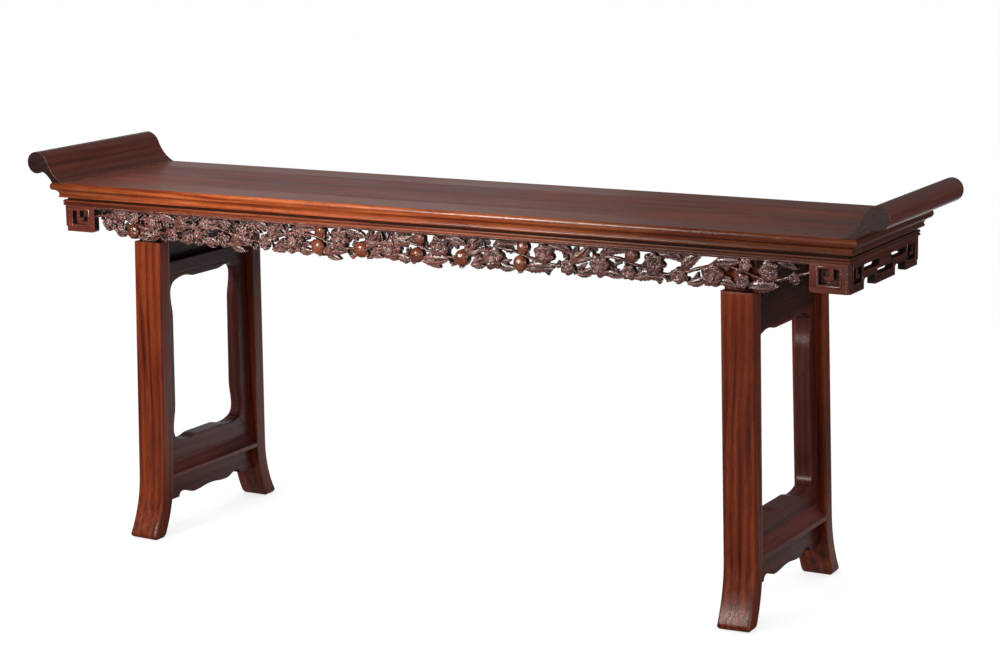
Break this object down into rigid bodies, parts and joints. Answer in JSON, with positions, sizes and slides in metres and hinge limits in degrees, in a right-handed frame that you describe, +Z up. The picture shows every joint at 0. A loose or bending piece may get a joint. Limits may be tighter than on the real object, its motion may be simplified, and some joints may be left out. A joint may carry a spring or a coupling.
{
  "type": "altar table",
  "caption": "Long narrow wooden altar table with everted rolled ends, pierced carved aprons, square-scroll brackets and splayed side frames on kicked feet.",
  "frame": {"origin": "on the floor, at the middle of the table's footprint", "axes": "+Z up, X along the table's length, the carved front apron faces -Y"},
  "size_m": [2.198, 0.504, 0.922],
  "materials": {
    "top_wood": "worn satin lacquer over dark red-brown hardwood, paler and dustier on top",
    "leg_wood": "rubbed orange-brown lacquer with straight grain",
    "frame_wood": "dark maroon-brown satin lacquer",
    "carved_wood": "carved hardwood, dark in the hollows and rubbed reddish on the high points",
    "bare_wood": "planed wood left bare on the hidden underside"
  },
  "bodies": {
    "root": {"top_front_stile": "top_wood", "top_back_stile": "top_wood", "top_left_end_rail": "top_wood", "top_right_end_rail": "top_wood", "top_panel": "top_wood", "panel_batten_1": "bare_wood", "panel_batten_2": "bare_wood", "panel_batten_3": "bare_wood", "panel_batten_4": "bare_wood", "panel_batten_5": "bare_wood", "left_flange": "top_wood", "right_flange": "top_wood", "front_bead_rail": "leg_wood", "back_bead_rail": "leg_wood", "left_bead_rail": "leg_wood", "right_bead_rail": "leg_wood", "front_carved_apron": "carved_wood", "back_carved_apron": "carved_wood", "front_left_bracket": "carved_wood", "front_right_bracket": "carved_wood", "back_left_bracket": "carved_wood", "back_right_bracket": "carved_wood", "left_end_apron": "carved_wood", "right_end_apron": "carved_wood", "front_left_leg": "leg_wood", "front_right_leg": "leg_wood", "back_left_leg": "leg_wood", "back_right_leg": "leg_wood", "left_upper_rail": "frame_wood", "right_upper_rail": "frame_wood", "left_upper_panel": "frame_wood", "right_upper_panel": "frame_wood", "left_stretcher": "frame_wood", "right_stretcher": "frame_wood", "left_lower_apron": "frame_wood", "right_lower_apron": "frame_wood", "left_lining_top": "frame_wood", "left_lining_bottom": "frame_wood", "left_lining_front": "frame_wood", "left_lining_back": "frame_wood", "right_lining_top": "frame_wood", "right_lining_bottom": "frame_wood", "right_lining_front": "frame_wood", "right_lining_back": "frame_wood"}
  },
  "joints": []
}
